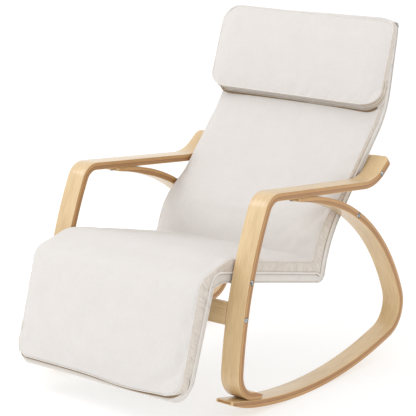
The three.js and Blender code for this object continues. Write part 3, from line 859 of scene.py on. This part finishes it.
cushion, cushion_index = slab(
    "long_cushion", low_cushion, top_line, half_line, CUSHION_LAYERS,
    crown_line, bulge_line, EDGE_ROUND, FOOT_CORNERS, foot_sag
)
sleeve, sleeve_index = slab(
    "frame_sleeve", bottom_line, middle_line, half_line - 1.5, SLEEVE_LAYERS,
    np.zeros(STATIONS + 1), bulge_line * 0.5, 3.0, FOOT_CORNERS
)
held = {n for (i, j, k), n in cushion_index.items() if k == 0 or (j in (0, NX) and k in (1, CUSHION_LAYERS))}
held |= {n for (i, j, k), n in cushion_index.items() if edges[1] <= i <= edges[2] or i >= STATIONS - 1}
cap_places = (edges[2] - 3, edges[2] + 3, edges[4] - 2, edges[4] + 5)
caps = np.zeros(len(cushion_index))
for (i, j, k), n in cushion_index.items():
    caps[n] = np.interp(i, cap_places, (0.007, 0.002, 0.002, 0.007))
puff(cushion, sorted(held), caps, pressure=2.0)

# two places round the knee, on a line through the hinge; nothing below uses them
KNEE_LINE = np.array((0.869, 0.496))
KNEE_START = to_frame(0, PIVOT + 32 * KNEE_LINE)
KNEE_END = to_frame(0, PIVOT - 42 * KNEE_LINE)


def over_knee(obj):
    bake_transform(obj)
    return obj


top_rim = rim_points(cushion, cushion_index, (STATIONS, NX), CUSHION_LAYERS)
middle_rim = spread(rim_points(cushion, cushion_index, (STATIONS, NX), 0), 0.0012)
low_rim = spread(rim_points(sleeve, sleeve_index, (STATIONS, NX), 0), 0.0005)
seam_top = tube("seam_cushion_top", top_rim, 0.0012, 6, closed=True)
piping_middle = tube("piping_cushion", middle_rim, 0.0027, 8, closed=True)
piping_low = tube("piping_sleeve", low_rim, 0.0016, 6, closed=True)
side_faces(cushion, cushion_index, (STATIONS, NX, CUSHION_LAYERS), run_lengths(middle_line))

# a slanted crease where the seat meets the knee, with a low ridge in front of it
cushion_co = coords(cushion)
for (i, j, k), n in cushion_index.items():
    if k == CUSHION_LAYERS and 0 < j < NX:
        v = 2 * j / NX - 1
        past = i - (edges[3] - 2.5 + 4.5 * v)
        lift = 1.0 * math.exp(-(((past - 1.5) / 2.5) ** 2)) - 2.2 * math.exp(-(((past + 1.3) / 1.2) ** 2))
        out = unit_up(low_cushion[i:i + 1], top_line[i:i + 1])[0] * lift * (1 - v**4) / 1000
        cushion_co[n] += (0, out[0], out[1])
set_coords(cushion, cushion_co)
subdivide(cushion)
subdivide(sleeve)


GATHER_START, GATHER_FADE = 0.262, 0.008
GATHER_PITCH, GATHER_DEPTH = 0.015, 0.0017


def pucker(obj, low_line, high_line):
    """Gathers along the gusset where the cloth is eased round the seam."""
    co = coords(obj)
    middle = to_frame(0, (low_line + high_line) / 2)[:, 1:]
    lengths = run_lengths(middle)
    side = ease((np.abs(co[:, 0]) - GATHER_START) / GATHER_FADE)
    nearest = np.argmin(((co[:, None, 1:] - middle[None]) ** 2).sum(2), axis=1)
    s = lengths[nearest]
    share = foot_part[nearest] * 0.75 + 0.25
    wobble = np.array([noise.noise(Vector((co[n, 1] * 14, co[n, 2] * 14, 3.0))) for n in range(len(co))])
    wave = np.sin(2 * np.pi * (s + 0.35 * (co[:, 1] - middle[nearest, 0])) / GATHER_PITCH + 5 * wobble)
    strength = np.clip(0.5 + 1.3 * wobble, 0, 1)
    co[:, 0] += np.sign(co[:, 0]) * side * share * strength * wave * GATHER_DEPTH
    set_coords(obj, co)


pucker(cushion, low_cushion, top_line)
pucker(sleeve, bottom_line, middle_line)


def end_rise(x, half):
    """How far the foot's end, with its rounded corners, stands back at a place across it."""
    corner = FOOT_CORNERS[x > 0]
    over = min(max(0.0, abs(x) - half + corner), corner)
    return corner - math.sqrt(corner**2 - over**2)


# side-view directions at the foot's end: through the layers to the front, and along them downwards
foot_out = unit_up(bottom_line[-1:], top_line[-1:])[0]
foot_down = np.array((foot_out[1], -foot_out[0]))
foot_down = foot_down if foot_down[1] < 0 else -foot_down
LIP_COUNTS = (6, 40, 2)
LIP_DEPTH = 17.0
LIP_REACH = 33


def lip_place(i, j, k):
    """The end of the sleeve that the cushion's foot sits in."""
    w, v, t = i / LIP_COUNTS[0], 2 * j / LIP_COUNTS[1] - 1, k / LIP_COUNTS[2]
    v = math.copysign(1 - (1 - abs(v)) ** 1.4, v)
    depth = 0.8 + LIP_DEPTH * t * (1 - 0.15 * w) + 0.8 * math.sin(6 * v + 1) * w
    wide = half_line[-1] - 3 - 3 * w
    rise = end_rise(v * wide, wide)
    corner = FOOT_CORNERS[v > 0]
    depth = depth * (1 - 0.8 * rise / corner) - min(rise, 0.8 * corner)
    point = bottom_line[-1] + foot_out * (1 + LIP_REACH * w - 3 * t**2) + foot_down * depth
    return to_frame(v * wide, point)


lip, _ = box_grid("sleeve_end_pocket", LIP_COUNTS, lip_place)
subdivide(lip)
soft(lip, sleeve_cotton, "sleeve_fabric", 0.3)
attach(lip, "footrest")

# a painted shadow between the cushion's foot and the sleeve: a thin dark tube where the gap lies in shade
GAP_POINTS = 60
gap_line = []
for n in range(GAP_POINTS + 1):
    v = -1 + 2 * n / GAP_POINTS
    x = v * (half_line[-1] - 9)
    drop = foot_hang(v) + 1.8 - end_rise(x, half_line[-1])
    gap_line.append(to_frame(x, top_line[-1] - foot_out * (5 + 8 * abs(v) ** 12) + foot_down * drop))
gap = tube("painted_shadow_cushion_foot", gap_line, 0.0026, 6)
soft(gap, fold_shadow_cotton, "cushion_cotton")
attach(gap, "footrest")

# a painted shade line on each side of the back, just above the piping: a thin tube in crease-shade colour
# where the gap beside the cushion lies in shadow
for number, (sign, column) in enumerate(((1, NX), (-1, 0))):
    line = []
    for i in range(edges[1] - 32, edges[1] - 1):
        raised = (to_frame(0, top_line[i]) - to_frame(0, low_cushion[i])) * 0.09
        line.append(cushion_co[cushion_index[i, column, 0]] + (sign * 0.001, 0, 0) + raised)
    side_shadow_line = tube(f"painted_shadow_cushion_side_{number}", line, 0.0017, 6)
    soft(side_shadow_line, crease_shade_cotton, "cushion_cotton")
    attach(side_shadow_line, "chair")

# the cushion's sides take the darker gusset cotton, painted shade on the sides
soft(cushion, cushion_cotton, "cushion_cotton", 0.8, gusset_shade_cotton)
soft(sleeve, sleeve_cotton, "sleeve_fabric", 0.9)
for cord in (seam_top, piping_middle, piping_low):
    soft(cord, piping_cotton, "cushion_cotton")
for obj in (cushion, sleeve, seam_top, piping_middle, piping_low):
    over_knee(obj)
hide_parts("seat_cushion", "back_cushion", "footrest_cushion")
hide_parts("seat_back_sleeve", "footrest_sleeve")

# ---- the head pillow ------------------------------------------------------------------------------

PILLOW_LENGTH = 246.0
PILLOW_RISE = 7.0
PILLOW_HALF = 286.0
PILLOW_CORNER = 56.0
PILLOW_TOP_CORNER = 20.0
PILLOW_TURN = math.radians(1.3)
PILLOW_COUNTS = (34, 64, 6)
FOLD = (0.0, -9.0, 1.0, -9.0, 1.0, -8.0, 0.0)  # how far each layer's rim stands out below


def pillow_spacing(n, count):
    """From -1 to 1, closer together towards both ends."""
    t = 2 * n / count - 1
    return math.copysign(1 - (1 - abs(t)) ** 1.4, t)


long_back = walk(SEAT_START, SEAT_SLOPE, SEAT_MOVES + [(200,)])


def pillow_place(i, j, k):
    """u runs up the pillow, v across it and w from its rear to its front."""
    u = 0.5 + 0.5 * pillow_spacing(i, PILLOW_COUNTS[0])
    v = pillow_spacing(j, PILLOW_COUNTS[1])
    w = k / PILLOW_COUNTS[2]
    from_end = min(u, 1 - u) * PILLOW_LENGTH
    corner = PILLOW_TOP_CORNER if u > 0.5 and v > 0 else PILLOW_CORNER
    wide = PILLOW_HALF - corner_cut(from_end, corner)
    rim = min((1 - abs(v)) * wide, from_end) / 60
    edge = 14 + 24 * (1 - u)
    crown = 12 * math.sin(math.pi * min(1, u + 0.08)) ** 0.7 * (1 - max(0, 1 - rim) ** 2.4)
    low = max(0, 1 - from_end / PILLOW_CORNER) if u < 0.5 else 0
    on_rim = i == 0 or j in (0, PILLOW_COUNTS[1])
    down = low**1.5 * (FOLD[k] + 11 * (1 - w) ** 1.5) * (1 if on_rim else 0)
    swell = 2.5 * 4 * w * (1 - w) * (1 - low) if j in (0, PILLOW_COUNTS[1]) else 0
    x = v * (wide + swell + (FOLD[k] * 0.6 * (1 - low) * low if on_rim else 0))
    s = SEAT_END - PILLOW_LENGTH + (PILLOW_LENGTH + PILLOW_RISE) * u - x * math.sin(PILLOW_TURN) - down
    rear = float(back_offset(min(s, SEAT_END))) + 3.5
    turned_x = x + (u - 0.5) * PILLOW_LENGTH * math.sin(PILLOW_TURN)
    return to_frame(turned_x, beside(at(long_back, s), rear + (edge + crown) * w)[0])


pillow, pillow_index = box_grid("soft_head_pillow", PILLOW_COUNTS, pillow_place)
front_rim = {n for (i, j, k), n in pillow_index.items()
             if k == PILLOW_COUNTS[2] and (i in (0, PILLOW_COUNTS[0]) or j in (0, PILLOW_COUNTS[1]))}
held = {n for (i, j, k), n in pillow_index.items() if k == 0 or (i <= 8 and k < PILLOW_COUNTS[2])}
held |= front_rim
puff(pillow, sorted(held), 0.004, pressure=1.6, grow=0.015)
pillow_co = coords(pillow)
front_line = rim_points(pillow, pillow_index, PILLOW_COUNTS[:2], PILLOW_COUNTS[2])
rear_line = rim_points(pillow, pillow_index, PILLOW_COUNTS[:2], 0)
pillow_seam = tube("seam_pillow_front", front_line, 0.0016, 6, closed=True)
pillow_piping = tube("piping_pillow_rear", rear_line, 0.002, 6, closed=True)


def pillow_line(layer_number, reach):
    """Points just outside the pillow's lower rim at a layer, and a number of rows up its sides."""
    rim = [(i, 0) for i in range(reach, 0, -1)] + [(0, j) for j in range(PILLOW_COUNTS[1] + 1)]
    rim += [(i, PILLOW_COUNTS[1]) for i in range(1, reach + 1)]
    return [pillow_co[pillow_index[i, j, layer_number]] - (0, 0.0005, 0.0009) for i, j in rim]


# painted shadow lines under the pillow: thin dark tubes where its folds lie in shade; the lowest comes
# forward of the back in its middle
pillow_fold_shadows = []
for layer_number, thick, reach in ((0, 0.0030, 4), (2, 0.0011, 14), (4, 0.0011, 14)):
    line = pillow_line(layer_number, reach)
    if layer_number == 0:
        line = [a + (b - a) * 0.5 * (1 - (a[0] / 0.29) ** 4) for a, b in zip(line, pillow_line(2, reach))]
    pillow_fold_shadows.append(tube(f"painted_shadow_pillow_{layer_number}", line, thick, 6))
side_faces(pillow, pillow_index, PILLOW_COUNTS, np.linspace(0, PILLOW_LENGTH, PILLOW_COUNTS[0] + 1))
subdivide(pillow)
# the pillow's sides take the darker band cotton, painted shade on the sides
soft(pillow, cushion_cotton, "cushion_cotton", 0.7, band_shade_cotton)
looks = (piping_cotton, piping_cotton, fold_shadow_cotton, crease_shade_cotton, crease_shade_cotton)
for piece, look in zip((pillow_seam, pillow_piping, *pillow_fold_shadows), looks):
    soft(piece, look, "cushion_cotton")
    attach(piece, "chair")
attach(pillow, "chair")
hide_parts("head_pillow")

# the flap that goes over the top of the back
FLAP_COUNTS = (60, 40, 1)
FLAP_DROP = 195
FLAP_HALF = 266
FLAP_THICK = 3.0
flap_down = at(seat, np.linspace(SEAT_END - FLAP_DROP, SEAT_END, 30))
flap_line = beside(flap_down, -3.0)
over = walk(flap_line[-1], math.degrees(flap_down[-1, 2]), [(2,), (9, 90), (17,), (9, 60), (3,)], 2)[:, :2]
flap_line = resample(chain([flap_line, over]), FLAP_COUNTS[0])


def flap_place(i, j, k):
    """A thin sheet up the rear of the back and over its top, with its front corners drooping."""
    last = FLAP_COUNTS[0]
    v = 2 * j / FLAP_COUNTS[1] - 1
    tangent = flap_line[min(i + 1, last)] - flap_line[max(i - 1, 0)]
    tangent = tangent / np.linalg.norm(tangent)
    normal = np.array((-tangent[1], tangent[0]))
    wave = 0.8 * math.sin(9 * v + 3 * i / last) * (1 - i / last)
    drop = 9 * ease((abs(v) - 0.84) / 0.16) * ease((i - 40) / 10)
    point = flap_line[i] + normal * ((k - 0.5) * FLAP_THICK + wave) - (0, drop)
    return to_frame(v * (FLAP_HALF + 1.5 * math.sin(i / 7)), point)


flap, _ = box_grid("soft_pillow_flap", FLAP_COUNTS, flap_place)
subdivide(flap)
soft(flap, cushion_cotton, "cushion_cotton", 0.1)
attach(flap, "chair")
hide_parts("head_pillow_flap")

# ---- floor, light and camera ----------------------------------------------------------------------

FLOOR_HALF = 30.0
FLOOR_HEIGHT = -0.0005
floor_signs = ((-1, -1), (1, -1), (1, 1), (-1, 1))
floor_corners = [(x * FLOOR_HALF, y * FLOOR_HALF, FLOOR_HEIGHT) for x, y in floor_signs]
floor = new_object("floor", floor_corners, [(0, 1, 2, 3)])
floor_shader = Shader("floor", 0.9)
floor_shader.surface.inputs["Base Color"].default_value = (0.48, 0.48, 0.48, 1)
floor_shader.surface.inputs["Emission Color"].default_value = (1, 1, 1, 1)
floor_shader.surface.inputs["Emission Strength"].default_value = 0.54
floor.data.materials.append(floor_shader.material)
floor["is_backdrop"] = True

world = bpy.data.worlds.new("studio")
world.use_nodes = True
world.node_tree.nodes["Background"].inputs["Color"].default_value = (1, 1, 1, 1)
world.node_tree.nodes["Background"].inputs["Strength"].default_value = 1.05
bpy.context.scene.world = world
bpy.context.scene.view_settings.view_transform = "Standard"


def area_light(name, place, target, size, power):
    """A square light at a place, facing a target."""
    data = bpy.data.lights.new(name, "AREA")
    data.size = size
    data.energy = power
    light = bpy.data.objects.new(name, data)
    light.location = place
    light.rotation_euler = (Vector(target) - Vector(place)).to_track_quat("-Z", "Y").to_euler()
    bpy.context.scene.collection.objects.link(light)


area_light("key", (-2.2, -1.9, 3.3), (0, 0, 0.5), 1.8, 31)
area_light("glint", (0.9, -4.2, 2.4), (0.2, 0, 0.5), 0.7, 13)

# the camera: angles round and above the chair, distance in metres, focal length and centre in pixels
AZIMUTH, ELEVATION = math.radians(39.4), math.radians(12.3)
DISTANCE = 4.1995
FOCAL_PIXELS = 1613.0
CENTRE = (198.0, 194.2)
PICTURE = 416
SENSOR = 36
TARGET_HEIGHT = 481.7
back_axis = Vector((
    math.sin(AZIMUTH) * math.cos(ELEVATION),
    -math.cos(AZIMUTH) * math.cos(ELEVATION),
    math.sin(ELEVATION),
))
right_axis = Vector((math.cos(AZIMUTH), math.sin(AZIMUTH), 0))
up_axis = back_axis.cross(right_axis)
camera_data = bpy.data.cameras.new("camera")
camera_data.sensor_width = SENSOR
camera_data.lens = FOCAL_PIXELS / PICTURE * SENSOR
camera_data.shift_x = (PICTURE / 2 - CENTRE[0]) / PICTURE
camera_data.shift_y = (CENTRE[1] - PICTURE / 2) / PICTURE
camera = bpy.data.objects.new("camera", camera_data)
target = Vector(to_frame(0, (0.0, TARGET_HEIGHT)))
placing = Matrix((right_axis, up_axis, back_axis)).transposed().to_4x4()
placing.translation = target + back_axis * DISTANCE
camera.matrix_world = placing
bpy.context.scene.collection.objects.link(camera)
bpy.context.scene.camera = camera

size_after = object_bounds()
[[list(map(float, corner)) for corner in size] for size in (size_before, size_after)]
